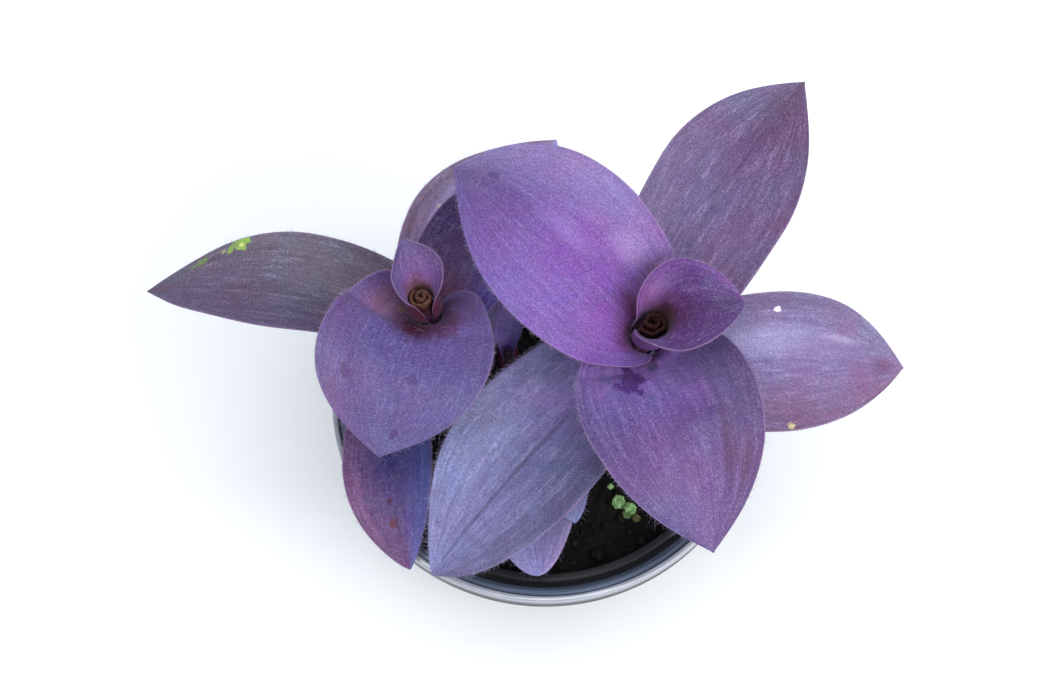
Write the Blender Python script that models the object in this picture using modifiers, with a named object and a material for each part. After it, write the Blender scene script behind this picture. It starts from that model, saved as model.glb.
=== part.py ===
# Purple heart (Tradescantia pallida) in a round nursery pot: five shoots with fleshy sheathing
# leaves, growing out of dark potting soil in a black plastic pot.
import bpy
import numpy as np
from math import cos, pi, radians, sin

for old in list(bpy.data.objects):
    bpy.data.objects.remove(old, do_unlink=True)

MM = 0.001
GAP = 0.3  # clearance between pieces that touch, mm

# Pot, mm
POT_LIP_RADIUS = 52.5
POT_HEIGHT = 90.0
LIP_HEIGHT = 6.0
LIP_TOP_INNER_RADIUS = 51.0
CHAMFER_RADIUS = 50.3
CHAMFER_HEIGHT = 88.7
LEDGE_HEIGHT = 86.6
LEDGE_OUTER_RADIUS = 48.5
LEDGE_INNER_RADIUS = 46.3
BASE_INNER_RADIUS = 32.0
WALL = 1.5
FLOOR = 2.0
DRAIN_RADIUS = 4.0
DRAIN_CIRCLE = 24.0
DRAIN_COUNT = 6

# Soil, mm
SOIL_TOP = 78.0
SOIL_CROWN = 0.4
STEM_FOOT = 74.0
HOLE_CLEARANCE = 0.8  # the leaning stems stay clear of the straight holes
HOLE_SHARE = 0.04  # the hole is centred this share of the way up the stem

# Leaves, mm
LEAF_THICKNESS = 1.2
SHEATH_LENGTH = 3.2
SHEATH_CLEARANCE = 1.25  # mid-surface of the sheath outside the stem
BLADE_STEPS = 15
BLADE_COLUMNS = 7

# How a leaf leaves the stem: the half angle of its wrap round the stem (degrees), then the lengths over
# which it opens from the wrap to the blade, leans away from the stem and reaches the blade's width (mm).
# A young leaf still holds its base closed round the bud, so it opens later.
GROWN = dict(wrap=150.0, opening=9.0, knee=8.0, grow=5.0)
YOUNG = dict(wrap=165.0, opening=14.0, knee=10.0, grow=6.0)

# Stems: foot in the soil, upper end, radius, mm
STEMS = {
    "right": ((13.6, 2.7, STEM_FOOT), (23.0, -2.0, 135.5), 2.6),
    "left": ((-24.3, 13.6, STEM_FOOT), (-28.0, 8.0, 126.0), 2.4),
    "middle": ((-0.2, -11.7, STEM_FOOT), (-1.0, -10.0, 95.5), 2.0),
    "low": ((-35.2, 3.8, STEM_FOOT), (-36.0, 3.0, 85.5), 2.0),
    "inner": ((-9.0, 12.0, STEM_FOOT), (-9.2, 13.0, 84.0), 1.2),
}

# Leaves. node is the height where the leaf leaves its stem, heading the compass direction of the blade
# from +X, swing how far it turns sideways by its tip, rise its angle above level past the knee, tip the
# same at the tip, roll its tilt about its length, and cup the half angle of the channel across it.
# widest is where it is widest, base its width where it starts as a share of the full width, and blunt
# how full the tip is, smaller being fuller. Lengths are mm, angles degrees, colours linear.
LEAVES = {
    "leaf_right_cup": dict(
        stem="right", kind=YOUNG, node=134.5, heading=-6, length=24, width=24, rise=80, tip=1, roll=5,
        cup=47, swing=7, widest=0.4, base=0.9, blunt=0.8, colour=(0.13, 0.05, 0.20),
    ),
    "leaf_right_big": dict(
        stem="right", kind=GROWN, node=126.4, heading=143, length=64, width=38, rise=47, tip=-32, roll=-21,
        cup=28, swing=-9, widest=0.41, base=0.67, blunt=1.0, colour=(0.25, 0.11, 0.45),
    ),
    "leaf_right_front": dict(
        stem="right", kind=GROWN, node=117.5, heading=-72, length=56, width=40, rise=37, tip=-45, roll=4,
        cup=32, swing=1, widest=0.39, base=0.66, blunt=1.0, colour=(0.18, 0.10, 0.31),
    ),
    "leaf_right_back": dict(
        stem="right", kind=GROWN, node=109.0, heading=58, length=84, width=34, rise=36, tip=-17, roll=12,
        cup=33, swing=-3, widest=0.5, base=0.66, blunt=1.0, colour=(0.17, 0.12, 0.26),
    ),
    "leaf_right_low": dict(
        stem="right", kind=GROWN, node=100.5, heading=232, length=72, width=38, rise=28, tip=-44, roll=12,
        cup=37, swing=-9, widest=0.47, base=0.81, blunt=1.0, colour=(0.19, 0.20, 0.40),
    ),
    "leaf_right_side": dict(
        stem="right", kind=GROWN, node=92.3, heading=-4, length=80, width=35, rise=26, tip=-40, roll=20,
        cup=43, swing=17, widest=0.48, base=0.66, blunt=1.0, colour=(0.31, 0.23, 0.44),
    ),
    "leaf_left_cup": dict(
        stem="left", kind=YOUNG, node=125.0, heading=116, length=18, width=17, rise=85, tip=57, roll=8,
        cup=68, swing=0, widest=0.41, base=0.9, blunt=0.8, colour=(0.22, 0.12, 0.31),
    ),
    "leaf_left_front": dict(
        stem="left", kind=GROWN, node=116.0, heading=254, length=42, width=40, rise=42, tip=-49, roll=-5,
        cup=31, swing=0, widest=0.44, base=0.74, blunt=1.0, colour=(0.19, 0.15, 0.37),
    ),
    "leaf_left_inner": dict(
        stem="left", kind=GROWN, node=107.0, heading=55, length=45, width=25, rise=36, tip=-12, roll=8,
        cup=34, swing=10, widest=0.39, base=0.8, blunt=1.0, colour=(0.07, 0.04, 0.12),
    ),
    "leaf_left_long": dict(
        stem="left", kind=GROWN, node=97.5, heading=174, length=76, width=31, rise=35, tip=-28, roll=13,
        cup=51, swing=-2, widest=0.45, base=0.72, blunt=1.0, colour=(0.15, 0.11, 0.19),
    ),
    "leaf_left_back": dict(
        stem="left", kind=GROWN, node=88.5, heading=68, length=64, width=41, rise=39, tip=-20, roll=-20,
        cup=50, swing=-13, widest=0.43, base=0.6, blunt=1.0, colour=(0.18, 0.13, 0.20),
    ),
    "leaf_low_front": dict(
        stem="low", kind=GROWN, node=84.5, heading=-100, length=50, width=23, rise=15, tip=-6, roll=10,
        cup=35, swing=30, widest=0.48, base=0.78, blunt=0.8, colour=(0.16, 0.08, 0.24),
    ),
    "leaf_middle_front": dict(
        stem="middle", kind=GROWN, node=85.5, heading=-101, length=38, width=23, rise=26, tip=-12, roll=15,
        cup=40, swing=19, widest=0.45, base=0.8, blunt=0.7, colour=(0.20, 0.19, 0.41),
    ),
    "leaf_middle_top": dict(
        stem="middle", kind=GROWN, node=94.5, heading=-73, length=30, width=15, rise=40, tip=-25, roll=0,
        cup=35, swing=-1, widest=0.42, base=1.1, blunt=0.7, colour=(0.16, 0.17, 0.38),
    ),
    "leaf_inner_small": dict(
        stem="inner", kind=GROWN, node=82.2, heading=96, length=26, width=9, rise=66, tip=52, roll=0,
        cup=42, swing=0, widest=0.42, base=0.7, blunt=1.0, colour=(0.15, 0.10, 0.33),
    ),
}

# Buds at the tops of the shoots: name, stem, radius, length, mm
BUDS = [
    ("bud_right", "right", 1.9, 5.0),
    ("bud_left", "left", 1.6, 4.2),
    ("bud_middle", "middle", 1.4, 6.0),
]

# Moss lumps: x, y, radius, mm
MOSS = [
    (18.6, -24.6, 2.3),
    (21.2, -26.6, 1.9),
    (20.6, -29.0, 1.7),
    (17.4, -27.6, 1.5),
]

parts = bpy.data.collections.new("potted_tradescantia")
bpy.context.scene.collection.children.link(parts)
cutters = bpy.data.collections.new("cutters")
bpy.context.scene.collection.children.link(cutters)


def material(name, colour, roughness):
    made = bpy.data.materials.new(name)
    made.use_nodes = True
    shader = made.node_tree.nodes["Principled BSDF"]
    shader.inputs["Base Color"].default_value = (*colour, 1.0)
    shader.inputs["Roughness"].default_value = roughness
    return made


def piece(name, data, colour, roughness):
    obj = bpy.data.objects.new(name, data)
    data.materials.append(material(name + "_material", colour, roughness))
    parts.objects.link(obj)
    return obj


def mesh_from(name, points, faces):
    mesh = bpy.data.meshes.new(name)
    mesh.from_pydata([tuple(float(c) * MM for c in p) for p in points], [], faces)
    return mesh


def turned(name, profile, steps, colour, roughness):
    mesh = bpy.data.meshes.new(name)
    points = [(r * MM, 0.0, z * MM) for r, z in profile]
    mesh.from_pydata(points, [(i, i + 1) for i in range(len(points) - 1)], [])
    obj = piece(name, mesh, colour, roughness)
    screw = obj.modifiers.new("turn", "SCREW")
    screw.axis = "Z"
    screw.angle = 2 * pi
    screw.steps = steps
    screw.render_steps = steps
    screw.use_merge_vertices = True
    screw.merge_threshold = 0.00001
    return obj


def cutter(name, centre, radius, bottom, top):
    bpy.ops.mesh.primitive_cylinder_add(
        vertices=20,
        radius=radius * MM,
        depth=(top - bottom) * MM,
        location=(centre[0] * MM, centre[1] * MM, (top + bottom) / 2 * MM),
    )
    obj = bpy.context.object
    obj.name = name
    obj.hide_render = True
    obj.display_type = "WIRE"
    for home in list(obj.users_collection):
        home.objects.unlink(obj)
    cutters.objects.link(obj)
    return obj


def boolean(obj, other, operation):
    cut = obj.modifiers.new(other.name, "BOOLEAN")
    cut.operation = operation
    cut.solver = "EXACT"
    cut.object = other


# Pot: an injection-moulded wall with a rolled lip, a chamfer and a ledge inside it, and a flat floor
wall_slope = (LEDGE_INNER_RADIUS - BASE_INNER_RADIUS) / (LEDGE_HEIGHT - FLOOR)


def inner_radius(z):
    return BASE_INNER_RADIUS + wall_slope * (z - FLOOR)


lip_bottom = POT_HEIGHT - LIP_HEIGHT
pot_profile = [
    (0.0, FLOOR),
    (BASE_INNER_RADIUS, FLOOR),
    (inner_radius(LEDGE_HEIGHT - 0.6), LEDGE_HEIGHT - 0.6),
    (LEDGE_INNER_RADIUS + 0.6, LEDGE_HEIGHT),
    (LEDGE_OUTER_RADIUS, LEDGE_HEIGHT),
    (CHAMFER_RADIUS, CHAMFER_HEIGHT),
    (LIP_TOP_INNER_RADIUS, POT_HEIGHT - 0.3),
    (LIP_TOP_INNER_RADIUS + 0.4, POT_HEIGHT),
    (POT_LIP_RADIUS - 0.5, POT_HEIGHT),
    (POT_LIP_RADIUS, POT_HEIGHT - 0.5),
    (POT_LIP_RADIUS, lip_bottom + 0.4),
    (POT_LIP_RADIUS - 0.5, lip_bottom),
    (inner_radius(lip_bottom) + WALL, lip_bottom),
    (inner_radius(4.0) + WALL, 4.0),
    (BASE_INNER_RADIUS + WALL - 0.8, 0.0),
    (0.0, 0.0),
]
pot = turned("pot", pot_profile, 64, (0.012, 0.013, 0.015), 0.25)
for number in range(DRAIN_COUNT):
    turn = 2 * pi * (number + 0.5) / DRAIN_COUNT
    centre = (DRAIN_CIRCLE * cos(turn), DRAIN_CIRCLE * sin(turn))
    boolean(pot, cutter(f"drain_{number}", centre, DRAIN_RADIUS, -5.0, FLOOR + 5.0), "DIFFERENCE")

# Soil: fills the pot to a little below the ledge, with a hole where each stem goes in
soil_profile = [
    (0.0, SOIL_TOP + SOIL_CROWN),
    (15.0, SOIL_TOP + 0.7 * SOIL_CROWN),
    (32.0, SOIL_TOP),
    (inner_radius(SOIL_TOP - 1.0) - GAP - 1.0, SOIL_TOP - 0.3),
    (inner_radius(SOIL_TOP - 2.0) - GAP, SOIL_TOP - 2.0),
    (BASE_INNER_RADIUS - GAP, FLOOR + GAP),
    (0.0, FLOOR + GAP),
]
soil = turned("soil", soil_profile, 48, (0.010, 0.008, 0.007), 0.95)
for name, (foot, top, radius) in STEMS.items():
    mouth = [a + (b - a) * HOLE_SHARE for a, b in zip(foot, top)]
    hole = cutter(f"hole_{name}", mouth, radius + HOLE_CLEARANCE, STEM_FOOT - 1.0, SOIL_TOP + 5.0)
    boolean(soil, hole, "DIFFERENCE")


# Stems: juicy round stems, each nearly straight
def stem(name, foot, top, radius):
    curve = bpy.data.curves.new("stem_" + name, "CURVE")
    curve.dimensions = "3D"
    curve.bevel_depth = radius * MM
    curve.bevel_resolution = 2
    curve.use_fill_caps = True
    spline = curve.splines.new("POLY")
    shares = (0.0, 0.5, 1.0)
    spline.points.add(len(shares) - 1)
    for point, share in zip(spline.points, shares):
        place = [(a + (b - a) * share) * MM for a, b in zip(foot, top)]
        point.co = (*place, 1.0)
    return piece("stem_" + name, curve, (0.16, 0.07, 0.16), 0.5)


for name, (foot, top, radius) in STEMS.items():
    stem(name, foot, top, radius)


def ease(t):
    t = np.clip(t, 0.0, 1.0)
    return t * t * (3.0 - 2.0 * t)


def on_stem(name, z):
    foot, top, radius = STEMS[name]
    share = (z - foot[2]) / (top[2] - foot[2])
    return [a + (b - a) * share for a, b in zip(foot, top)]


# Leaves: a short sheath round the stem that opens out into a channelled blade
def leaf_surface(stem, kind, node, heading, length, width, rise, tip, roll, cup, swing, widest, base, blunt):
    foot, top, radius = STEMS[stem]
    lean = [(top[k] - foot[k]) / (top[2] - foot[2]) for k in (0, 1)]
    ring = radius + SHEATH_CLEARANCE
    share = np.linspace(0.0, 1.0, BLADE_STEPS) ** 1.25
    s = np.concatenate([[-SHEATH_LENGTH, -SHEATH_LENGTH / 2], length * share])
    t = np.clip(s / length, 0.0, 1.0)
    knee = ease(s / kind["knee"])
    pitch = np.radians(90 + (rise - 90) * knee + (tip - rise) * ease((t - 0.05) / 0.95) * knee)
    way = np.radians(heading + swing * t)
    along = np.stack([np.cos(pitch) * np.cos(way), np.cos(pitch) * np.sin(way), np.sin(pitch)], 1)
    over = np.stack([-np.sin(pitch) * np.cos(way), -np.sin(pitch) * np.sin(way), np.cos(pitch)], 1)
    across = np.cross(along, over)
    middle = (along[1:] + along[:-1]) / 2
    middle /= np.linalg.norm(middle, axis=1)[:, None]
    rib = np.zeros((len(s), 3))
    rib[1:] = np.cumsum(middle * np.diff(s)[:, None], axis=0)
    rib -= rib[2]
    follow = np.where(s < 0, s, s * (1 - ease(s / 12)))
    rib[:, 0] += lean[0] * follow
    rib[:, 1] += lean[1] * follow
    outward = np.array([cos(radians(heading)), sin(radians(heading)), 0.0])
    rib += np.array(on_stem(stem, node)) + outward * ring
    tilt = np.radians(roll) * ease((s - 2) / 14)
    up = over * np.cos(tilt)[:, None] + across * np.sin(tilt)[:, None]
    side = across * np.cos(tilt)[:, None] - over * np.sin(tilt)[:, None]
    opened = ease(s / kind["opening"])
    wrap = kind["wrap"]
    bend = wrap + (cup - wrap) * opened - 0.4 * cup * ease((t - 0.2) / 0.8)
    bend = np.radians(bend)
    swell = base + (1 - base) * np.sin(pi / 2 * np.clip(t / widest, 0, 1))
    taper = np.cos(pi / 2 * np.clip((t - widest) / (1 - widest), 0, 1)) ** blunt
    half = width / 2 * np.where(t < widest, swell, taper)
    grown = ease(s / kind["grow"])
    half = np.maximum(ring * radians(wrap) * (1 - grown) + half * grown, 0.35)
    arc = half / bend
    column = np.linspace(-1.0, 1.0, BLADE_COLUMNS)
    angle = bend[:, None] * column[None, :]
    sideways = (arc[:, None] * np.sin(angle))[:, :, None] * side[:, None, :]
    raised = (arc[:, None] * (1 - np.cos(angle)))[:, :, None] * up[:, None, :]
    return rib[:, None, :] + sideways + raised


def leaf(name, surface, colour):
    rows, columns = surface.shape[:2]
    faces = []
    for i in range(rows - 1):
        for j in range(columns - 1):
            a = i * columns + j
            faces.append((a, a + 1, a + columns + 1, a + columns))
    obj = piece(name, mesh_from(name, surface.reshape(-1, 3), faces), colour, 0.5)
    thick = obj.modifiers.new("thickness", "SOLIDIFY")
    thick.thickness = LEAF_THICKNESS * MM
    thick.offset = 0.0
    return obj


for name, facts in LEAVES.items():
    shape = {key: value for key, value in facts.items() if key != "colour"}
    leaf(name, leaf_surface(**shape), facts["colour"])


# Buds: a small furled bud standing on the top of each shoot
def bud(name, where, radius, length):
    foot, top, _ = STEMS[where]
    mesh = bpy.data.meshes.new(name)
    heights = (0.0, 0.0, 0.2, 0.45, 0.7, 0.88, 1.0)
    widths = (0.0, 0.6, 0.95, 1.0, 0.7, 0.38, 0.0)
    points = [(w * radius * MM, 0.0, h * length * MM) for w, h in zip(widths, heights)][::-1]
    mesh.from_pydata(points, [(i, i + 1) for i in range(len(points) - 1)], [])
    obj = piece(name, mesh, (0.10, 0.06, 0.04), 0.5)
    screw = obj.modifiers.new("turn", "SCREW")
    screw.axis = "Z"
    screw.steps = 12
    screw.render_steps = 12
    screw.use_merge_vertices = True
    screw.merge_threshold = 0.00001
    obj.location = (top[0] * MM, top[1] * MM, (top[2] + GAP + 0.2) * MM)
    return obj


for name, where, radius, length in BUDS:
    bud(name, where, radius, length)

# Moss: a few rounded cushions grown together, flat underneath where they lie on the soil
cushions = []
for number, (x, y, radius) in enumerate(MOSS):
    bpy.ops.mesh.primitive_uv_sphere_add(
        segments=14,
        ring_count=8,
        radius=radius * MM,
        location=(x * MM, y * MM, (SOIL_TOP + 0.8) * MM),
    )
    lump = bpy.context.object
    for home in list(lump.users_collection):
        home.objects.unlink(lump)
    cushions.append(lump)
moss = cushions[0]
moss.name = "moss"
moss.data.materials.append(material("moss_material", (0.10, 0.17, 0.08), 0.9))
parts.objects.link(moss)
for number, lump in enumerate(cushions[1:]):
    lump.name = f"cushion_{number}"
    lump.hide_render = True
    lump.display_type = "WIRE"
    cutters.objects.link(lump)
    boolean(moss, lump, "UNION")
ground = cutter("ground", (19.5, -27.0), 12.0, SOIL_TOP - 8.0, SOIL_TOP + GAP + 0.2)
boolean(moss, ground, "DIFFERENCE")
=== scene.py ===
import bpy
import random
import numpy as np
from math import cos, pi, radians, sin
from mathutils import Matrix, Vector, noise


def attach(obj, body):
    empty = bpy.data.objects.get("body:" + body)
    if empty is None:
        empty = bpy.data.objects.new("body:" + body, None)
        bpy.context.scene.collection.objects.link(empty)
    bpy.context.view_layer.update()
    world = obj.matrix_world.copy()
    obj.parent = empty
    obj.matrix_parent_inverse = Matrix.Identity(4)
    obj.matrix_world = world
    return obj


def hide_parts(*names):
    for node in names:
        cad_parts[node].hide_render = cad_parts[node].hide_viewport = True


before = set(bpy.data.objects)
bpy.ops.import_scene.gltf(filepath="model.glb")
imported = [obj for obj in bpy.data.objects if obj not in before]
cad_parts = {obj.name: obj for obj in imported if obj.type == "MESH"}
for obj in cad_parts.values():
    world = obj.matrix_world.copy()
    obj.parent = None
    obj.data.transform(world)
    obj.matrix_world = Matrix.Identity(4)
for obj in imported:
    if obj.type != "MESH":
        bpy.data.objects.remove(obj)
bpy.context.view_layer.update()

# Pot: a round nursery pot, injection moulded in one piece from black polypropylene, with a rolled and
# polished lip, a chamfer and a narrow ledge inside it, a tapering wall and drain holes in its floor.

# sizes are in mm, and MM turns them into metres
MM = 0.001
POT_HEIGHT = 90.0
POT_LIP_RADIUS = 52.5
POT_LIP_DEPTH = 6.0
POT_LEDGE = 86.6
POT_LEDGE_INSIDE = 46.3
POT_FLOOR = 2.0
POT_FLOOR_INSIDE = 32.0
POT_WALL = 1.5
POT_STEPS = 192
DRAINS = 6
DRAIN_RADIUS = 4.0
DRAIN_CIRCLE = 24.0


def pot_inside_radius(z):
    widening = POT_LEDGE_INSIDE - POT_FLOOR_INSIDE
    return POT_FLOOR_INSIDE + widening * (z - POT_FLOOR) / (POT_LEDGE - POT_FLOOR)


def rounded_corners(corners):
    """corners: (radius from the axis, height, corner rounding) in mm; each corner becomes a small arc."""
    points = []
    for k, (r, z, rounding) in enumerate(corners):
        if rounding == 0 or k in (0, len(corners) - 1):
            points.append((r, z))
            continue
        here = Vector((r, z))
        before = Vector(corners[k - 1][:2]) - here
        after = Vector(corners[k + 1][:2]) - here
        reach = min(rounding, before.length * 0.45, after.length * 0.45)
        start = here + before.normalized() * reach
        end = here + after.normalized() * reach
        for step in range(6):
            t = step / 5
            p = start * (1 - t) ** 2 + here * 2 * t * (1 - t) + end * t * t
            points.append((p.x, p.y))
    return points


def turned(name, outline, steps):
    """The outline, spun round the pot's axis."""
    mesh = bpy.data.meshes.new(name)
    verts = [(r * MM, 0.0, z * MM) for r, z in outline]
    mesh.from_pydata(verts, [(i, i + 1) for i in range(len(verts) - 1)], [])
    obj = bpy.data.objects.new(name, mesh)
    bpy.context.collection.objects.link(obj)
    screw = obj.modifiers.new("turn", "SCREW")
    screw.steps = steps
    screw.render_steps = steps
    screw.use_merge_vertices = True
    screw.merge_threshold = 0.00001
    screw.use_smooth_shade = True
    return obj


def nodes_of(name):
    """A new material, and short ways to add and join its nodes."""
    finish = bpy.data.materials.new(name)
    finish.use_nodes = True
    tree = finish.node_tree
    shader = tree.nodes["Principled BSDF"]

    def add(kind, inputs=(), **settings):
        node = tree.nodes.new(kind)
        for key, value in settings.items():
            setattr(node, key, value)
        for socket, value in dict(inputs).items():
            if isinstance(value, bpy.types.NodeSocket):
                tree.links.new(value, node.inputs[socket])
            else:
                node.inputs[socket].default_value = value
        return node

    def join(output, socket):
        tree.links.new(output, socket)

    return finish, shader, add, join


def speckled(add, place, scale, detail, roughness=0.5):
    given = {"Vector": place, "Scale": scale, "Detail": detail, "Roughness": roughness}
    return add("ShaderNodeTexNoise", given).outputs["Fac"]


def reckoned(add, way, *values, **settings):
    return add("ShaderNodeMath", dict(enumerate(values)), operation=way, **settings).outputs[0]


def vector_of(add, way, *values):
    return add("ShaderNodeVectorMath", dict(enumerate(values)), operation=way).outputs[0]


def length_of(add, vector):
    return add("ShaderNodeVectorMath", {0: vector}, operation="LENGTH").outputs["Value"]


def bumped(add, strength, distance, height, below=None):
    """A bump from a height; distance in metres, and below is a bump that this one lies on."""
    given = {"Strength": strength, "Distance": distance, "Height": height}
    if below is not None:
        given["Normal"] = below
    return add("ShaderNodeBump", given).outputs["Normal"]


def colour_ramp(add, factor, stops):
    ramp = add("ShaderNodeValToRGB", {"Fac": factor})
    while len(ramp.color_ramp.elements) < len(stops):
        ramp.color_ramp.elements.new(0.5)
    for element, (place, colour) in zip(ramp.color_ramp.elements, stops):
        element.position = place
        element.color = (*colour, 1.0)
    return ramp.outputs["Color"]


def value_ramp(add, factor, low, high, from_low=0.0, from_high=1.0):
    given = {"Value": factor, "From Min": from_low, "From Max": from_high, "To Min": low, "To Max": high}
    return add("ShaderNodeMapRange", given, clamp=True).outputs["Result"]


def blended(add, factor, first, second, way="MIX"):
    mix = add("ShaderNodeMix", {"Factor": factor}, data_type="RGBA", blend_type=way)
    for socket, value in ((6, first), (7, second)):
        if isinstance(value, bpy.types.NodeSocket):
            mix.id_data.links.new(value, mix.inputs[socket])
        else:
            mix.inputs[socket].default_value = (*value, 1.0)
    return mix.outputs[2]


def black_polypropylene():
    finish, shader, add, join = nodes_of("black_polypropylene")
    place = add("ShaderNodeTexCoord").outputs["Object"]
    height = add("ShaderNodeSeparateXYZ", {"Vector": place}).outputs["Z"]
    dust = speckled(add, place, 60.0, 6.0, 0.7)
    specks = speckled(add, place, 900.0, 3.0)
    dusty = value_ramp(add, dust, 0.0, 0.35, 0.45, 0.75)
    shade = blended(add, dusty, (0.010, 0.011, 0.013), (0.045, 0.044, 0.046))
    across = vector_of(add, "MULTIPLY", place, (1.0, 1.0, 0.0))
    radius = length_of(add, across)
    outward = vector_of(add, "NORMALIZE", across)
    # scuffs run round the pot, so they follow the radius far more closely than the direction
    scuffs = reckoned(add, "MULTIPLY", radius, 4000.0)
    scuffs = add("ShaderNodeCombineXYZ", {"Z": scuffs}).outputs["Vector"]
    scuffs = speckled(add, vector_of(add, "ADD", outward, scuffs), 1.6, 4.0, 0.75)
    streaky = value_ramp(add, scuffs, 0.15, 1.25, 0.36, 0.64)
    # painted light on the lip: painted shade darkens the ledge and its groove, a painted bluish reflection
    # of the sky lies on the chamfer and a paler painted highlight at its top; each is given as lowest height
    # and highest height, both in metres, and colour
    for low, high, colour in (
            (0.0858, 0.0868, (0.007, 0.009, 0.012)),
            (0.0873, 0.0892, (0.080, 0.105, 0.165)),
            (0.0885, 0.0890, (0.260, 0.335, 0.480))):
        painted_lip_band = value_ramp(add, height, 0.0, 0.85, low, low + 0.0004)
        above = value_ramp(add, height, 1.0, 0.0, high - 0.0003, high)
        painted_lip_band = reckoned(add, "MULTIPLY", painted_lip_band, above)
        painted_lip_band = reckoned(add, "MULTIPLY", painted_lip_band, streaky, use_clamp=True)
        shade = blended(add, painted_lip_band, shade, colour)
    # painted highlight: the crest of the lip and its outer edge are painted pale, unevenly with the dust
    painted_lip_highlight = value_ramp(add, height, 0.0, 1.0, 0.0893, 0.0899)
    outside = value_ramp(add, radius, 0.0, 0.8, 0.0520, 0.0523)
    upper = value_ramp(add, height, 0.0, 1.0, 0.0862, 0.0888)
    outside = reckoned(add, "MULTIPLY", outside, upper)
    painted_lip_highlight = reckoned(add, "MAXIMUM", painted_lip_highlight, outside)
    uneven = value_ramp(add, dust, 0.7, 1.0, 0.35, 0.65)
    painted_lip_highlight = reckoned(add, "MULTIPLY", painted_lip_highlight, uneven)
    shade = blended(add, painted_lip_highlight, shade, (0.34, 0.36, 0.42))
    grit = value_ramp(add, specks, 0.0, 0.5, 0.68, 0.74)
    join(blended(add, grit, shade, (0.12, 0.11, 0.10)), shader.inputs["Base Color"])
    polish = value_ramp(add, height, 0.0, 1.0, 0.0886, 0.0892)
    join(polish, shader.inputs["Coat Weight"])
    matt = value_ramp(add, polish, 0.42, 0.12)
    smear = value_ramp(add, dust, -0.06, 0.12, 0.3, 0.8)
    join(reckoned(add, "ADD", matt, smear), shader.inputs["Roughness"])
    join(bumped(add, 0.06, 0.0002, specks), shader.inputs["Normal"])
    shader.inputs["IOR"].default_value = 1.5
    shader.inputs["Specular IOR Level"].default_value = 0.3
    shader.inputs["Coat IOR"].default_value = 1.7
    shader.inputs["Coat Roughness"].default_value = 0.06
    return finish


lip_under = POT_HEIGHT - POT_LIP_DEPTH
pot_outline = rounded_corners([
    (0.0, POT_FLOOR, 0),
    (POT_FLOOR_INSIDE, POT_FLOOR, 2.0),
    (pot_inside_radius(83.5), 83.5, 0.4),
    (45.0, 85.2, 0.4),
    (44.9, 86.5, 0.4),
    (46.7, POT_LEDGE, 0.2),
    (46.9, 86.2, 0.2),
    (47.3, 86.5, 0.2),
    (48.2, 87.0, 0.3),
    (48.9, 88.1, 0.4),
    (50.3, 88.9, 0.3),
    (50.8, 88.9, 0.2),
    (51.0, 89.4, 0.2),
    (51.3, POT_HEIGHT, 0.5),
    (52.3, POT_HEIGHT, 0.5),
    (POT_LIP_RADIUS, POT_HEIGHT - 0.7, 0.5),
    (POT_LIP_RADIUS, lip_under + 0.2, 0.3),
    (POT_LIP_RADIUS - 0.5, lip_under, 0.3),
    (pot_inside_radius(lip_under) + POT_WALL, lip_under, 0.6),
    (pot_inside_radius(4.0) + POT_WALL, 4.0, 1.5),
    (32.6, 0.0, 0.6),
    (30.5, 0.0, 0.3),
    (30.0, 0.3, 0.3),
    (0.0, 0.3, 0),
])
pot = turned("nursery_pot", pot_outline, POT_STEPS)
for number in range(DRAINS):
    turn = 2 * pi * (number + 0.5) / DRAINS
    where = (DRAIN_CIRCLE * MM * cos(turn), DRAIN_CIRCLE * MM * sin(turn), MM)
    bpy.ops.mesh.primitive_cylinder_add(vertices=48, radius=DRAIN_RADIUS * MM, depth=20 * MM, location=where)
    drill = bpy.context.object
    drill.name = f"drain_drill_{number}"
    hole = pot.modifiers.new(drill.name, "BOOLEAN")
    hole.object = drill
    hole.solver = "EXACT"


def settled(obj):
    """The modifiers' result becomes the mesh itself."""
    bpy.context.view_layer.update()
    made = bpy.data.meshes.new_from_object(obj.evaluated_get(bpy.context.evaluated_depsgraph_get()))
    tools = [m.object for m in obj.modifiers if m.type == "BOOLEAN"]
    obj.modifiers.clear()
    obj.data = made
    for tool in tools:
        bpy.data.objects.remove(tool, do_unlink=True)


settled(pot)
pot.data.materials.clear()
pot.data.materials.append(black_polypropylene())
pot.data.set_sharp_from_angle(angle=radians(40))
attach(pot, "root")
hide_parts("pot")

# Soil: dark, damp peat and bark potting mix, pressed in by hand and watered level, a finger's width
# below the lip. Its surface is crumbs of peat with loose bits of bark on it.

SOIL_TOP = 78.0
SOIL_RADIUS = 44.7
SOIL_SHOULDER = 76.0
SOIL_BOTTOM = 2.6
CRUMBS = 520
CRUMB_POINTS = 42
# crumbs lie inside this circle, and this far from the middle of each stem
CRUMB_CIRCLE = 43.0
CRUMB_GAP = 4.0
FEET = [(13.9, 2.5), (-24.6, 13.3), (-0.3, -11.5), (-35.3, 3.7), (-9.0, 12.2)]
chance = random.Random(11)


def soil_height(x, y):
    lumps = noise.fractal(Vector((x * 0.16, y * 0.16, 3.1)), 0.9, 2.1, 4)
    crumbs = noise.fractal(Vector((x * 0.75, y * 0.75, 9.4)), 0.7, 2.0, 4)
    edge = max(0.0, (x * x + y * y) ** 0.5 - 41.5)
    return SOIL_TOP + 0.15 + 0.55 * lumps + 0.42 * crumbs - 0.25 * edge


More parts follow.
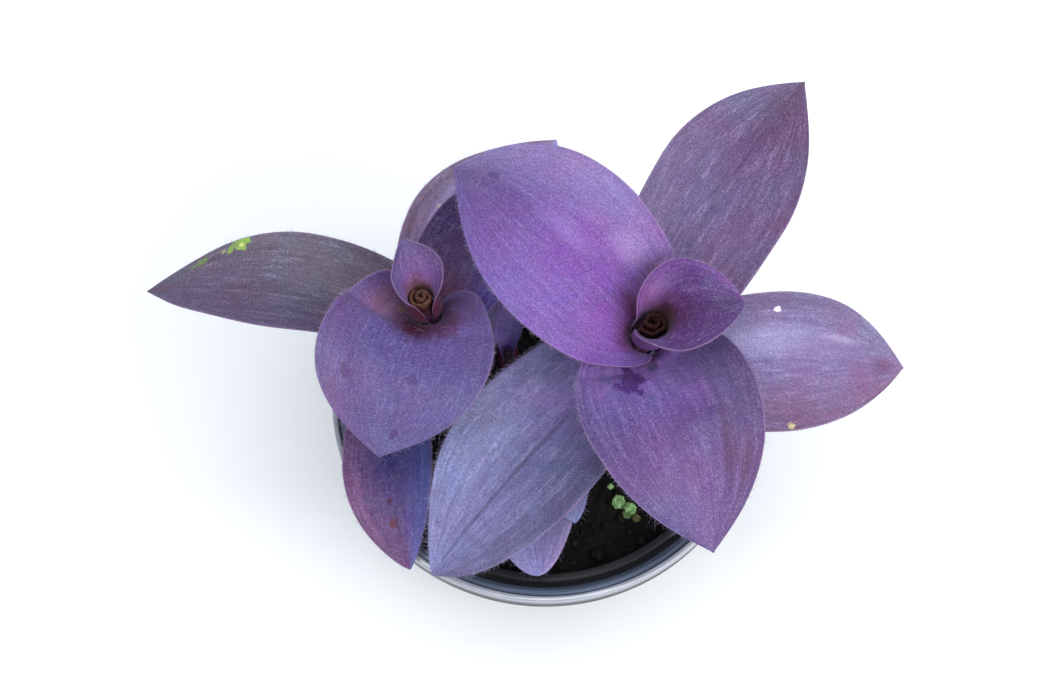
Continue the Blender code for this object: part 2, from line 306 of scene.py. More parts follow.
rings, spokes = 110, 300
soil_points = [(0.0, 0.0, soil_height(0.0, 0.0))]
for i in range(1, rings + 1):
    for k in range(spokes):
        r = SOIL_RADIUS * i / rings
        x, y = r * cos(2 * pi * k / spokes), r * sin(2 * pi * k / spokes)
        soil_points.append((x, y, soil_height(x, y)))
for level, r in ((SOIL_SHOULDER, pot_inside_radius(SOIL_SHOULDER) - 0.35), (SOIL_BOTTOM, 31.6)):
    for k in range(spokes):
        soil_points.append((r * cos(2 * pi * k / spokes), r * sin(2 * pi * k / spokes), level))
soil_points.append((0.0, 0.0, SOIL_BOTTOM))
soil_faces = [(0, 1 + k, 1 + (k + 1) % spokes) for k in range(spokes)]
for i in range(rings + 1):
    a, b = 1 + i * spokes, 1 + (i + 1) * spokes
    for k in range(spokes):
        n = (k + 1) % spokes
        soil_faces.append((a + k, b + k, b + n, a + n))
last = 1 + (rings + 1) * spokes
soil_faces += [(last + k, last + spokes, last + (k + 1) % spokes) for k in range(spokes)]


def meshed(name, points, faces):
    mesh = bpy.data.meshes.new(name)
    mesh.from_pydata([(x * MM, y * MM, z * MM) for x, y, z in points], [], faces)
    mesh.polygons.foreach_set("use_smooth", [True] * len(faces))
    obj = bpy.data.objects.new(name, mesh)
    bpy.context.collection.objects.link(obj)
    return obj


def damp_peat():
    finish, shader, add, join = nodes_of("damp_peat")
    place = add("ShaderNodeTexCoord").outputs["Object"]
    patches = speckled(add, place, 120.0, 5.0)
    grains = add("ShaderNodeTexVoronoi", {"Vector": place, "Scale": 900.0, "Randomness": 1.0})
    fine = speckled(add, place, 2200.0, 4.0)
    tone = colour_ramp(add, patches, [
        (0.30, (0.0016, 0.0018, 0.0020)),
        (0.55, (0.0035, 0.0036, 0.0034)),
        (0.72, (0.0090, 0.0078, 0.0060)),
    ])
    each = value_ramp(add, grains.outputs["Color"], 0.0, 0.6, 0.78, 0.92)
    join(blended(add, each, tone, (0.018, 0.017, 0.013)), shader.inputs["Base Color"])
    join(value_ramp(add, fine, 0.7, 1.0), shader.inputs["Roughness"])
    shader.inputs["Specular IOR Level"].default_value = 0.25
    height = reckoned(add, "ADD", grains.outputs["Distance"], fine)
    join(bumped(add, 0.9, 0.0005, height), shader.inputs["Normal"])
    return finish


peat = damp_peat()
soil = meshed("potting_soil", soil_points, soil_faces)
soil.data.materials.append(peat)
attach(soil, "root")
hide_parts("soil")


def lump_shape(rough, seed):
    """A rough pebble or crumb: a small sphere pushed in and out, as points and faces."""
    bpy.ops.mesh.primitive_ico_sphere_add(subdivisions=2, radius=1.0)
    made = bpy.context.object
    points = []
    for v in made.data.vertices:
        push = 1.0 + rough * noise.noise(v.co * 1.7 + Vector((seed * 3.7, seed * 1.3, 0.0)))
        points.append(tuple(v.co * push))
    faces = [tuple(p.vertices) for p in made.data.polygons]
    bpy.data.objects.remove(made, do_unlink=True)
    return np.array(points), faces


crumb_shapes = [lump_shape(0.7, seed) for seed in range(6)]
crumb_points, crumb_faces = [], []
while len(crumb_points) < CRUMBS * CRUMB_POINTS:
    x, y = chance.uniform(-44, 44), chance.uniform(-44, 44)
    near_stem = any((x - a) ** 2 + (y - b) ** 2 < CRUMB_GAP ** 2 for a, b in FEET)
    if (x * x + y * y) ** 0.5 > CRUMB_CIRCLE or near_stem:
        continue
    shape, faces = chance.choice(crumb_shapes)
    size = chance.uniform(0.35, 0.9) if chance.random() < 0.85 else chance.uniform(0.9, 1.5)
    stretch = [chance.uniform(0.8, 1.7), chance.uniform(0.7, 1.1), chance.uniform(0.45, 0.8)]
    stretch = np.array(stretch) * size
    angle = chance.uniform(0, 2 * pi)
    turn = np.array([[cos(angle), -sin(angle), 0], [sin(angle), cos(angle), 0], [0, 0, 1]])
    placed = (shape * stretch) @ turn.T + np.array([x, y, soil_height(x, y) + 0.15 * size])
    start = len(crumb_points)
    crumb_points += [tuple(p) for p in placed]
    crumb_faces += [tuple(start + k for k in face) for face in faces]


def bark_crumb():
    finish, shader, add, join = nodes_of("bark_crumb")
    place = add("ShaderNodeTexCoord").outputs["Object"]
    tone = speckled(add, place, 240.0, 3.0)
    join(colour_ramp(add, tone, [
        (0.35, (0.0022, 0.0022, 0.0024)),
        (0.55, (0.0060, 0.0052, 0.0044)),
        (0.70, (0.0220, 0.0170, 0.0110)),
    ]), shader.inputs["Base Color"])
    shader.inputs["Specular IOR Level"].default_value = 0.25
    grain = speckled(add, place, 1800.0, 4.0)
    join(value_ramp(add, grain, 0.55, 0.95), shader.inputs["Roughness"])
    join(bumped(add, 0.7, 0.0003, grain), shader.inputs["Normal"])
    return finish


crumbs = meshed("bark_crumbs", crumb_points, crumb_faces)
crumbs.data.materials.append(bark_crumb())
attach(crumbs, "root")

# Moss: a clump of small bright cushions that has grown by itself on the damp soil near the front right.
# Each cushion is a dome of short round leaflets.

# x, y, radius, and which of the three greens
CUSHIONS = [
    (18.4, -25.0, 1.6, 0),
    (19.8, -26.0, 1.0, 1),
    (21.2, -26.9, 1.4, 0),
    (20.3, -28.3, 1.0, 1),
    (22.6, -29.2, 0.9, 2),
    (16.5, -21.0, 0.6, 0),
]
LEAFLETS_PER_MM2 = 44
# the turn from one leaflet to the next that spreads them evenly over a dome
GOLDEN_TURN = 2.39996


def moss_green(name, dark, light):
    finish, shader, add, join = nodes_of(name)
    place = add("ShaderNodeTexCoord").outputs["Object"]
    tone = speckled(add, place, 700.0, 3.0)
    join(colour_ramp(add, tone, [(0.32, dark), (0.68, light)]), shader.inputs["Base Color"])
    grain = speckled(add, place, 4000.0, 2.0)
    join(bumped(add, 0.5, 0.0001, grain), shader.inputs["Normal"])
    join(value_ramp(add, grain, 0.55, 0.9), shader.inputs["Roughness"])
    shader.inputs["Subsurface Weight"].default_value = 0.15
    shader.inputs["Subsurface Scale"].default_value = 0.0005
    return finish


leaflet, leaflet_faces = lump_shape(0.25, 9)
moss_points, moss_faces, moss_slots = [], [], []
for x, y, radius, shade in CUSHIONS:
    centre = np.array([x, y, soil_height(x, y) + 0.1])
    count = int(LEAFLETS_PER_MM2 * radius * radius)
    for k in range(count):
        up = 1 - (k + 0.5) / count * 0.95
        around = k * GOLDEN_TURN + chance.uniform(-0.2, 0.2)
        flat = (1 - up * up) ** 0.5
        out = np.array([flat * cos(around), flat * sin(around), up])
        side = np.cross(out, (0.3, 0.2, 0.9))
        side /= np.linalg.norm(side)
        axes = np.array([side, np.cross(out, side), out])
        size = chance.uniform(0.18, 0.32)
        placed = (leaflet * np.array([size, size, size * 1.3])) @ axes
        placed = placed + centre + out * radius * np.array([1, 1, 0.8]) * chance.uniform(0.78, 1.0)
        start = len(moss_points)
        moss_points += [tuple(p) for p in placed]
        moss_faces += [tuple(start + i for i in face) for face in leaflet_faces]
        moss_slots += [shade] * len(leaflet_faces)
moss = meshed("moss_clump", moss_points, moss_faces)
moss.data.materials.append(moss_green("fresh_moss", (0.16, 0.36, 0.10), (0.55, 0.85, 0.40)))
moss.data.materials.append(moss_green("shaded_moss", (0.06, 0.13, 0.04), (0.26, 0.42, 0.16)))
moss.data.materials.append(moss_green("old_moss", (0.06, 0.06, 0.02), (0.20, 0.20, 0.08)))
moss.data.polygons.foreach_set("material_index", moss_slots)
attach(moss, "root")
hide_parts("moss")

# Stems: five juicy round shoots standing in the soil, thickened at each leaf joint, purple with fine
# darker streaks along them.

# foot in the soil, upper end, radius, and the heights of the leaf joints
STEMS = {
    "right": ((13.6, 2.7, 74.0), (23.0, -2.0, 135.5), 2.6, (92.3, 100.5, 109.0, 117.5, 126.4, 134.5)),
    "left": ((-24.3, 13.6, 74.0), (-28.0, 8.0, 126.0), 2.4, (88.5, 97.5, 107.0, 116.0, 125.0)),
    "middle": ((-0.2, -11.7, 74.0), (-1.0, -10.0, 95.5), 2.0, (85.5, 94.5)),
    "low": ((-35.2, 3.8, 74.0), (-36.0, 3.0, 85.5), 2.0, (84.5,)),
    "inner": ((-9.0, 12.0, 74.0), (-9.2, 13.0, 84.0), 1.2, (82.2,)),
}


def lofted(name, rows, marks=None):
    """A closed skin over rings of points; marks are numbers kept on each point, by name."""
    count, width = rows.shape[:2]
    points = [tuple(p) for p in rows.reshape(-1, 3)]
    faces = []
    for i in range(count - 1):
        for k in range(width):
            a, b = i * width + k, i * width + (k + 1) % width
            faces.append((a, b, b + width, a + width))
    faces.append(tuple(range(width))[::-1])
    faces.append(tuple(range((count - 1) * width, count * width)))
    obj = meshed(name, points, faces)
    for title, values in (marks or {}).items():
        kept = obj.data.attributes.new(title, "FLOAT", "POINT")
        kept.data.foreach_set("value", np.ascontiguousarray(values, dtype=np.float32).ravel())
    return obj


def stem_skin():
    finish, shader, add, join = nodes_of("stem_skin")
    place = add("ShaderNodeTexCoord").outputs["Object"]
    long_way = add("ShaderNodeMapping", {"Vector": place, "Scale": (1.0, 1.0, 0.08)}).outputs["Vector"]
    streaks = speckled(add, long_way, 1400.0, 4.0)
    patches = speckled(add, place, 90.0, 2.0)
    body = colour_ramp(add, patches, [
        (0.35, (0.10, 0.035, 0.09)),
        (0.55, (0.17, 0.06, 0.15)),
        (0.75, (0.14, 0.11, 0.10)),
    ])
    dark = value_ramp(add, streaks, 0.0, 0.7, 0.5, 0.7)
    body = blended(add, dark, body, (0.045, 0.012, 0.035))
    below_top = add("ShaderNodeAttribute", attribute_name="below_top").outputs["Fac"]
    growing = value_ramp(add, below_top, 1.0, 0.0, 2.0, 5.0)
    join(blended(add, growing, body, (0.050, 0.016, 0.018)), shader.inputs["Base Color"])
    join(bumped(add, 0.35, 0.0002, streaks), shader.inputs["Normal"])
    join(value_ramp(add, streaks, 0.35, 0.6), shader.inputs["Roughness"])
    return finish


STEM_SIDES = 28
skin_of_stems = stem_skin()
for name, (foot, top, radius, joints) in STEMS.items():
    foot, top = np.array(foot), np.array(top)
    ring = np.linspace(0, 2 * pi, STEM_SIDES, endpoint=False)
    rows, near_top = [], []
    for share in np.linspace(0, 1, int((top[2] - foot[2]) * 2)):
        centre = foot + (top - foot) * share
        swell = sum(np.exp(-(((centre[2] - z + 1.5) / 1.6) ** 2)) for z in joints)
        around = radius * (0.90 + 0.09 * min(swell, 1.0)) * (1 + 0.015 * np.cos(ring * 9 + share * 3))
        below_top = (1 - share) * (top[2] - foot[2])
        around = around * (1 - 0.45 * max(0.0, 1 - below_top / 2.5) ** 2)
        near_top.append(np.full(len(ring), below_top))
        x, y = centre[0] + around * np.cos(ring), centre[1] + around * np.sin(ring)
        rows.append(np.stack([x, y, np.full(len(ring), centre[2])], 1))
    stem = lofted("shoot_stem_" + name, np.array(rows), {"below_top": np.array(near_top)})
    stem.data.materials.append(skin_of_stems)
    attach(stem, "root")
    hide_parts("stem_" + name)

# Leaves: fleshy blades that clasp the stem with a short open sheath. They are thickest along the middle,
# have fine parallel veins, a groove over the midrib, a thin rosy margin, a bloom and fine pale hairs.

SHEATH = 3.2
# how finely a leaf is cut: rows along its sheath and its blade, and points across it
SHEATH_STATIONS = 8
STATIONS = 130
COLUMNS = 49
# thickness at the margin and what the middle has more, and how far the sheath stands off the stem
MARGIN_THICKNESS = 0.30
MIDDLE_THICKNESS = 0.75
SHEATH_GAP = 1.25
# how strongly the points across a leaf crowd towards its margins, from 0 to 1
CROWDING = 0.86
# how a leaf leaves the stem: half angle of its wrap, then the lengths over which it opens, leans away and
# reaches its own width; a young leaf still holds its base closed round the bud
GROWN = (150.0, 9.0, 8.0, 5.0)
YOUNG = (165.0, 14.0, 10.0, 6.0)


def ease(t):
    t = np.clip(t, 0.0, 1.0)
    return t * t * (3.0 - 2.0 * t)


class Leaf:
    """A blade whose midrib leaves its stem at the height node towards heading, in degrees from +X, rises
    at the angle rise and ends at the angle tip. It rolls to one side, its section is an arc of cup degrees
    on either side, and it swings sideways towards its tip. base and widest shape its outline, and blunt its
    tip; groove, pleat and wave are depths in mm."""

    def __init__(self, name, stem, kind, node, heading, length, width, rise, tip, roll, cup, swing, widest,
                 base, blunt, groove, pleat, wave, seed):
        self.name = name
        self.length, self.width = length, width
        self.seed = seed
        wrap, opening, knee_length, grow = kind
        foot, top, radius, _ = STEMS[stem]
        foot, top = np.array(foot), np.array(top)
        centre = foot + (top - foot) * (node - foot[2]) / (top[2] - foot[2])
        lean = (top - foot) / (top[2] - foot[2])
        ring = radius + SHEATH_GAP
        sheath = np.linspace(-SHEATH, 0, SHEATH_STATIONS, endpoint=False)
        s = np.concatenate([sheath, length * np.linspace(0, 1, STATIONS) ** 1.1])
        t = np.clip(s / length, 0, 1)
        knee = ease(s / knee_length)
        pitch = np.radians(90 + (rise - 90) * knee + (tip - rise) * ease((t - 0.05) / 0.95) * knee)
        way = np.radians(heading + swing * t)
        along = np.stack([np.cos(pitch) * np.cos(way), np.cos(pitch) * np.sin(way), np.sin(pitch)], 1)
        over = np.stack([-np.sin(pitch) * np.cos(way), -np.sin(pitch) * np.sin(way), np.cos(pitch)], 1)
        across = np.cross(along, over)
        step = (along[1:] + along[:-1]) / 2
        step /= np.linalg.norm(step, axis=1)[:, None]
        rib = np.zeros((len(s), 3))
        rib[1:] = np.cumsum(step * np.diff(s)[:, None], axis=0)
        rib -= rib[SHEATH_STATIONS]
        follow = np.where(s < 0, s, s * (1 - ease(s / 12)))
        rib[:, :2] += lean[None, :2] * follow[:, None]
        outward = np.array([cos(radians(heading)), sin(radians(heading)), 0.0])
        rib += centre + outward * ring
        tilt = np.radians(roll) * ease((s - 2) / 14)
        up = over * np.cos(tilt)[:, None] + across * np.sin(tilt)[:, None]
        side = across * np.cos(tilt)[:, None] - over * np.sin(tilt)[:, None]
        bend = wrap + (cup - wrap) * ease(s / opening) - 0.4 * cup * ease((t - 0.2) / 0.8)
        bend = np.radians(bend)
        swell = base + (1 - base) * np.sin(pi / 2 * np.clip(t / widest, 0, 1))
        taper = np.cos(pi / 2 * np.clip((t - widest) / (1 - widest), 0, 1)) ** blunt
        half = width / 2 * np.where(t < widest, swell, taper)
        grown = ease(s / grow)
        half = np.maximum(ring * radians(wrap) * (1 - grown) + half * grown, 0.22)
        arc = (half / bend)[:, None]
        # v runs from -1 at the left margin to 1 at the right one, with points closer together there
        v = np.sin(np.linspace(-1, 1, COLUMNS) * pi / 2 * CROWDING) / sin(pi / 2 * CROWDING)
        angle = bend[:, None] * v[None, :]
        up, side = up[:, None, :], side[:, None, :]
        mid = rib[:, None, :] + (arc * np.sin(angle))[:, :, None] * side
        mid = mid + (arc * (1 - np.cos(angle)))[:, :, None] * up
        normal = np.cos(angle)[:, :, None] * up - np.sin(angle)[:, :, None] * side
        # margins that ripple a little, pleats between the veins and a groove over the midrib
        blade = ease((t - 0.06) / 0.15)[:, None]
        ripple = np.sin(t[:, None] * (9 + seed % 4) + seed * 1.7 + v[None, :] * 1.2)
        ripple = ripple + 0.5 * np.sin(t[:, None] * 23 + seed)
        lift = wave * ripple * (np.abs(v)[None, :] ** 2.5) * blade
        fade = blade * (1 - t[:, None] ** 6)
        drift = 0.5 * np.sin(t[:, None] * 4 + seed)
        folds = np.cos(v[None, :] * pi * (5.3 + seed % 3) + drift)
        folds = folds * np.cos(v[None, :] * 4.1 + t[:, None] * 2 + seed)
        folds = folds + 0.6 * np.cos(v[None, :] * pi * 12.3 - drift * 2) * np.sin(v[None, :] * 6.7 - seed)
        lift = lift + pleat * folds * fade * (0.4 + 0.6 * t[:, None])
        lift = lift - groove * np.exp(-((v[None, :] / 0.04) ** 2)) * fade
        mid = mid + normal * lift[:, :, None]
        thick = 0.5 * (MARGIN_THICKNESS + MIDDLE_THICKNESS * (1 - np.abs(v)[None, :] ** 3))
        thick = thick * (1 - 0.35 * t[:, None] ** 2)
        thick = thick * np.minimum(1.0, half[:, None] / 1.2)
        keel = 0.35 * np.exp(-((v[None, :] / 0.10) ** 2)) * fade
        self.top = mid + normal * thick[:, :, None]
        bottom = mid - normal * (thick + keel)[:, :, None]
        self.normal, self.along = normal, along
        self.s, self.t, self.half = s, t, half
        rows = np.concatenate([self.top, bottom[:, ::-1]], axis=1)
        each_row = np.ones((len(s), 1))
        span = np.concatenate([v, v[::-1]])
        under = np.concatenate([np.zeros(COLUMNS), np.ones(COLUMNS)])
        marks = {
            "along": s[:, None] * np.ones((1, 2 * COLUMNS)),
            "across": each_row * span[None, :],
            "under": each_row * under[None, :],
        }
        # rings run the other way round, so the skin faces outwards
        self.obj = lofted(name, rows[:, ::-1], {key: value[:, ::-1] for key, value in marks.items()})


MAROON_CLASP = (0.075, 0.008, 0.028)
FROST_COLOUR = (0.50, 0.48, 0.66)
# how much nearer the joint, in mm, the deep colour ends at the margins than on the midrib
CRESCENT_DEPTH = 11.0
MARGIN_COLOUR = (0.34, 0.21, 0.36)


def leaf_skin(leaf, base, middle, tip, left, right, streak=0.35, bloom=0.35, mottle=0.3, rosy=0.5,
              frost=0.15, rib=0.2, grain=0.4, hearts=(), clasp_colour=MAROON_CLASP, spots=(), clouds=()):
    """base, middle, tip, left and right are the colours there. streak, bloom, mottle, frost, rib and grain
    say how strongly the veins, the pale veil, the blotches, the pale strokes, the midrib and the fine grain
    show, and rosy how strongly the margin does. hearts are (length from the joint, colour) and spots (mm
    along the leaf, mm to the right of its middle, radius in mm, colour), with ragged edges; clouds (mm
    along, mm to the right, half length, half width, colour, strength) fade out softly."""
    finish, shader, add, join = nodes_of(leaf.name + "_skin")
    # each leaf has its own stretch of the noise
    own = leaf.seed * 31.0
    place = add("ShaderNodeTexCoord").outputs["Object"]
    distance = add("ShaderNodeAttribute", attribute_name="along").outputs["Fac"]
    across = add("ShaderNodeAttribute", attribute_name="across").outputs["Fac"]
    under = add("ShaderNodeAttribute", attribute_name="under").outputs["Fac"]
    along = reckoned(add, "MULTIPLY", distance, 1.0 / leaf.length)
    sideways = reckoned(add, "MULTIPLY", across, leaf.width / 2)
    out = reckoned(add, "ABSOLUTE", across)
    # place on the blade in mm, and the same with the length squeezed, so that noise on it runs lengthwise
    flat = add("ShaderNodeCombineXYZ", {"X": sideways, "Y": distance, "Z": own}).outputs["Vector"]
    lengthwise = add("ShaderNodeMapping", {"Vector": flat, "Scale": (1.0, 0.035, 1.0)}).outputs["Vector"]
    broad = add("ShaderNodeMapping", {"Vector": flat, "Scale": (1.0, 0.12, 1.0)}).outputs["Vector"]
    cloud = speckled(add, place, 75.0, 3.0, 0.55)
    blotch = speckled(add, place, 330.0, 5.0, 0.65)
    cells = speckled(add, place, 2600.0, 3.0, 0.6)
    veins = speckled(add, lengthwise, 1.5, 5.0, 0.7)
    wide = speckled(add, broad, 0.25, 4.0, 0.55)
    brush = speckled(add, broad, 0.9, 6.0, 0.75)
    # the colour runs from the base to the tip, and towards either margin
    shift = value_ramp(add, cloud, -0.12, 0.12)
    run = reckoned(add, "ADD", along, shift)
    body = colour_ramp(add, run, [(0.08, base), (0.45, middle), (0.92, tip)])
    ragged = value_ramp(add, wide, 0.45, 1.0, 0.3, 0.7)
    leftness = value_ramp(add, across, 1.0, 0.0, -0.9, -0.1)
    rightness = value_ramp(add, across, 0.0, 1.0, 0.1, 0.9)
    leftness = reckoned(add, "MULTIPLY", leftness, ragged)
    rightness = reckoned(add, "MULTIPLY", rightness, ragged)
    body = blended(add, leftness, body, left)
    body = blended(add, rightness, body, right)
    # darker lengthwise streaks and soft blotches
    dark_veins = value_ramp(add, veins, 0.0, streak, 0.50, 0.66)
    body = blended(add, dark_veins, body, tuple(c * 0.5 for c in middle))
    dark_patch = value_ramp(add, wide, 0.0, streak * 0.9, 0.52, 0.68)
    body = blended(add, dark_patch, body, (middle[0] * 0.70, middle[1] * 0.50, middle[2] * 0.58))
    soft = value_ramp(add, blotch, 0.0, mottle, 0.55, 0.72)
    body = blended(add, soft, body, tuple(c * 0.55 for c in middle))
    # the bloom: a pale lavender veil, thicker in places, brushed into lengthwise strokes
    veil = value_ramp(add, blotch, 0.0, bloom, 0.62, 0.36)
    patchy = value_ramp(add, cloud, 0.25, 1.0, 0.35, 0.65)
    veil = reckoned(add, "MULTIPLY", veil, patchy)
    grainy = value_ramp(add, cells, 0.3, 1.0, 0.35, 0.65)
    veil = reckoned(add, "MULTIPLY", veil, grainy)
    pale = (0.16 + 0.7 * middle[0], 0.15 + 0.7 * middle[1], 0.24 + 0.7 * middle[2])
    body = blended(add, veil, body, pale)
    stroke = value_ramp(add, brush, 0.0, frost, 0.52, 0.72)
    stroke = reckoned(add, "MULTIPLY", stroke, grainy)
    body = blended(add, stroke, body, FROST_COLOUR)
    fine = value_ramp(add, cells, 0.0, 0.12, 0.56, 0.75)
    body = blended(add, fine, body, (0.50, 0.47, 0.66))
    # deep colour near the joint, soft clouds and ragged spots; on the big leaf some of these are painted
    # shadow and painted highlight
    ragged_mm = value_ramp(add, blotch, -2.5, 2.5)
    near = reckoned(add, "ADD", ragged_mm, distance)
    bend = reckoned(add, "MULTIPLY", out, out)
    crescent = reckoned(add, "MULTIPLY_ADD", bend, CRESCENT_DEPTH, near)
    for reach, colour in hearts:
        body = blended(add, value_ramp(add, crescent, 0.95, 0.0, reach * 0.55, reach), body, colour)

    def gap_from(down, aside):
        centre = add("ShaderNodeCombineXYZ", {"X": aside, "Y": down, "Z": own}).outputs["Vector"]
        return vector_of(add, "SUBTRACT", flat, centre)

    for down, aside, half_length, half_width, colour, strength in clouds:
        shares = (1 / half_width, 1 / half_length, 1.0)
        far = length_of(add, vector_of(add, "MULTIPLY", gap_from(down, aside), shares))
        for roughening, push in ((brush, 0.35), (blotch, 0.25)):
            far = reckoned(add, "ADD", far, value_ramp(add, roughening, -push, push))
        body = blended(add, value_ramp(add, far, strength, 0.0, 0.25, 1.1), body, colour)
    for down, aside, size, colour in spots:
        far = length_of(add, gap_from(down, aside))
        rough_edge = value_ramp(add, blotch, -0.7 * size, 0.7 * size, 0.3, 0.7)
        far = reckoned(add, "ADD", far, rough_edge)
        body = blended(add, value_ramp(add, far, 0.9, 0.0, size * 0.6, size), body, colour)
    # hue drifts between pinkish and bluish, and the skin is grainy and finely streaked lengthwise
    hue = colour_ramp(add, cloud, [(0.36, (0.60, 0.46, 0.50)), (0.64, (0.42, 0.53, 0.53))])
    body = blended(add, 0.5, body, hue, "OVERLAY")
    scratch = [(0.34, (0.24, 0.22, 0.28)), (0.66, (0.76, 0.78, 0.75))]
    speckle = [(0.36, (0.20, 0.20, 0.22)), (0.64, (0.80, 0.80, 0.80))]
    pebble = [(0.36, (0.32, 0.30, 0.33)), (0.64, (0.68, 0.70, 0.68))]
    for share, texture, stops in ((grain, brush, scratch), (0.38, cells, speckle), (grain, blotch, pebble)):
        body = blended(add, share, body, colour_ramp(add, texture, stops), "OVERLAY")
    # the line of the midrib
    line = value_ramp(add, out, rib, 0.0, 0.0, 0.045)
    ends = value_ramp(add, along, 0.0, 1.0, 0.15, 0.5)
    line = reckoned(add, "MULTIPLY", line, ends)
    body = blended(add, line, body, tuple(c * 0.4 for c in middle))
    # thin rosy margin
    rim = value_ramp(add, out, 0.0, rosy, 0.980, 1.0)
    body = blended(add, rim, body, MARGIN_COLOUR)
    # the underside is a plainer, redder purple, with its own colour where it clasps the stem
    below = blended(add, dark_veins, (0.12, 0.040, 0.15), (0.07, 0.02, 0.09))
    clasp = value_ramp(add, near, 1.0, 0.0, 5.0, 13.0)
    below = blended(add, clasp, below, clasp_colour)
    body = blended(add, under, body, below)
    join(body, shader.inputs["Base Color"])
    join(value_ramp(add, blotch, 0.42, 0.66, 0.35, 0.7), shader.inputs["Roughness"])
    shader.inputs["IOR"].default_value = 1.34
    shader.inputs["Sheen Weight"].default_value = 0.08
    shader.inputs["Sheen Roughness"].default_value = 0.45
    shader.inputs["Sheen Tint"].default_value = (0.80, 0.76, 1.0, 1.0)
    ridge = bumped(add, 0.4, 0.00025, veins)
    join(bumped(add, 0.35, 0.00006, cells, ridge), shader.inputs["Normal"])
    return finish


def hair_finish():
    finish, shader, add, join = nodes_of("leaf_hair")
    place = add("ShaderNodeTexCoord").outputs["Object"]
    tone = speckled(add, place, 200.0, 1.0)
    tint = colour_ramp(add, tone, [(0.35, (0.22, 0.19, 0.33)), (0.65, (0.48, 0.45, 0.64))])
    join(tint, shader.inputs["Base Color"])
    shader.inputs["Roughness"].default_value = 0.45
    return finish


pale_hair = hair_finish()
HAIR_RADIUS = 0.015
# the longest hair on a margin
FRINGE_LENGTH = 1.8


def hairs_on(leaf, on_blade, on_margin, longest, to_right, bare):
    """Fine tapering hairs, some lying on the blade and some fringing its margins, more of them near the
    base. to_right is the share of the fringe on the right margin, and bare the length in mm without any."""
    dice = np.random.default_rng(100 + leaf.seed)
    rows, columns = leaf.top.shape[:2]
    total = on_blade + on_margin
    weight = leaf.half / leaf.half.max() * (1.0 + 0.9 * np.exp(-((leaf.t / 0.3) ** 2)))
    weight = weight * np.gradient(leaf.s) * (leaf.s > bare)
    weight[:SHEATH_STATIONS + 2] = 0
    i = dice.choice(rows, total, p=weight / weight.sum())
    j = dice.integers(1, columns - 1, total)
    margin = np.arange(total) >= on_blade
    j[margin] = np.where(dice.random(margin.sum()) < to_right, columns - 1, 0)
    outside = np.where(j[margin] == 0, -1.0, 1.0)
    i2 = np.minimum(i + 1, rows - 1)
    j2 = np.where(margin, j, np.minimum(j + 1, columns - 1))
    a, b = dice.random((2, total, 1))
    root = leaf.top[i, j] * (1 - a) + leaf.top[i2, j] * a
    root = root + (leaf.top[i, j2] - leaf.top[i, j]) * b
    up = leaf.normal[i, j]
    out = np.cross(leaf.along[i], up)
    turn = dice.normal(0.0, 1.2, (total, 1))
    lie = leaf.along[i] * np.cos(turn) + out * np.sin(turn)
    forward = leaf.along[i][margin] * dice.uniform(0, 1.2, (margin.sum(), 1))
    lie[margin] = out[margin] * outside[:, None] * 1.3 + forward
    lie /= np.linalg.norm(lie, axis=1)[:, None]
    height = np.radians(dice.uniform(4, 26, (total, 1)))
    height[margin] = np.radians(dice.uniform(-10, 40, (margin.sum(), 1)))
    length = longest * dice.uniform(0.15, 1.0, (total, 1)) ** 1.4
    length[margin] = np.minimum(longest, FRINGE_LENGTH) * dice.uniform(0.2, 0.7, (margin.sum(), 1))
    bow = np.cross(lie, up) * dice.normal(0.0, 0.14, (total, 1))
    start = lie * np.cos(height) + up * np.sin(height) - bow * 0.5
    late = lie * np.cos(height * 0.2) + up * np.sin(height * 0.2) + bow
    middle = root + start * length * 0.5
    end = middle + late * length * 0.5
    aside = np.cross(start, up)
    aside /= np.linalg.norm(aside, axis=1)[:, None] + 1e-9
    third = np.cross(start, aside)
    third /= np.linalg.norm(third, axis=1)[:, None] + 1e-9
    points = []
    for centre, thick in ((root - up * 0.04, HAIR_RADIUS), (middle, HAIR_RADIUS * 0.75)):
        for k in range(3):
            spoke = aside * cos(k * 2 * pi / 3) + third * sin(k * 2 * pi / 3)
            points.append(centre + spoke * thick)
    points.append(end)
    cloud = np.stack(points, 1).reshape(-1, 3)
    strand = [(0, 2, 1), (0, 1, 4, 3), (1, 2, 5, 4), (2, 0, 3, 5), (3, 4, 6), (4, 5, 6), (5, 3, 6)]
    faces = [tuple(7 * n + k for k in face) for n in range(total) for face in strand]
    fur = meshed(leaf.name + "_hairs", [tuple(p) for p in cloud], faces)
    fur.data.materials.append(pale_hair)
    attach(fur, "root")


def finished(leaf, skin, node, on_blade, on_margin, longest=4.5, to_right=0.5, bare=0.0):
    leaf.obj.data.materials.append(skin)
    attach(leaf.obj, "root")
    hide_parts(node)
    hairs_on(leaf, on_blade, on_margin, longest, to_right, bare)


